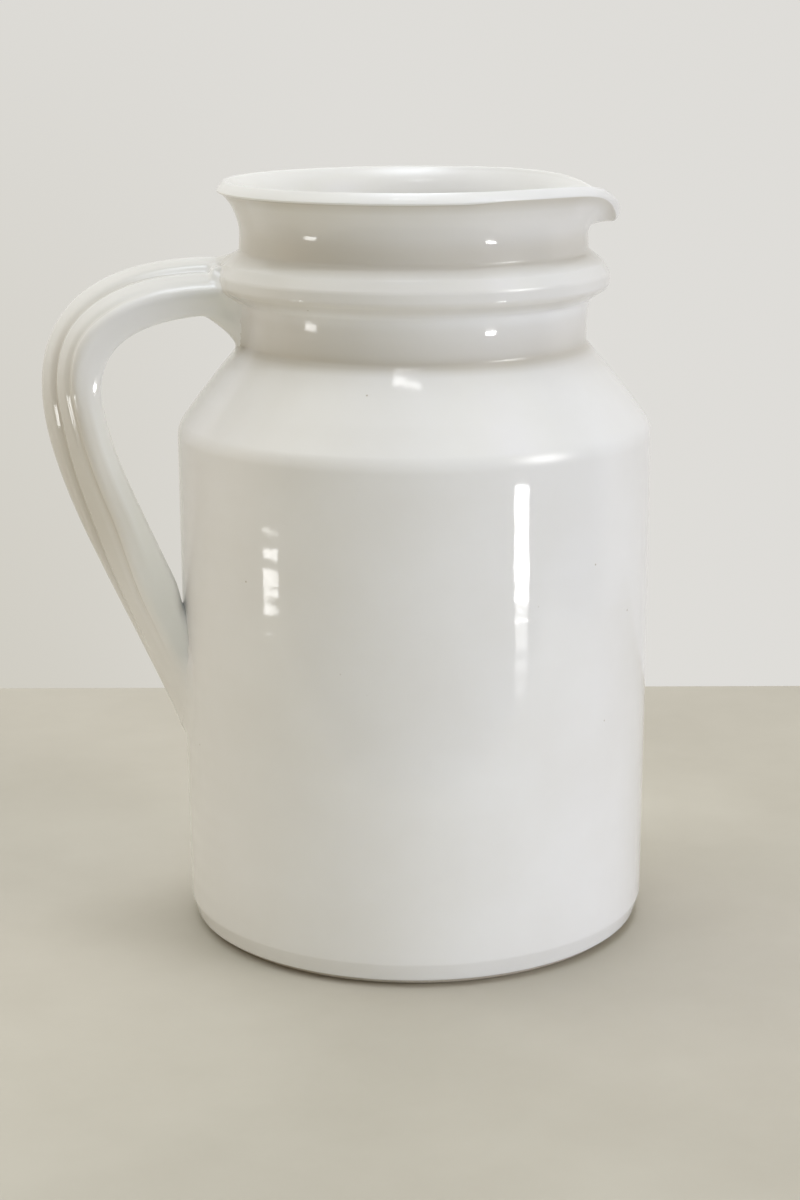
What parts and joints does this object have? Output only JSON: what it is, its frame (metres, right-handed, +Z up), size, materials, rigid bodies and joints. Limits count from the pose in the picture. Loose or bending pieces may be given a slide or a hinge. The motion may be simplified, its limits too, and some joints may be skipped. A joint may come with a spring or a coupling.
{
  "type": "jug",
  "caption": "Tall round ceramic jug with a straight body, ringed neck, rolled lip drawn out to a small spout, and a grooved strap handle.",
  "frame": {"origin": "centre of the flat bare foot, on the surface that the jug stands on", "axes": "+Z up along the jug's axis, +X towards the spout, -X towards the handle"},
  "size_m": [0.2015, 0.1574, 0.25],
  "materials": {
    "white_glaze": "glossy opaque white glaze",
    "bare_clay": "bare fired clay, matt"
  },
  "bodies": {
    "root": {"base_disc": "bare_clay", "body_wall": "white_glaze", "shoulder": "white_glaze", "lower_neck": "white_glaze", "neck_ring": "white_glaze", "pouring_rim": "white_glaze", "handle_strap": "white_glaze", "upper_handle_web": "white_glaze", "lower_handle_tail": "white_glaze"}
  },
  "joints": []
}
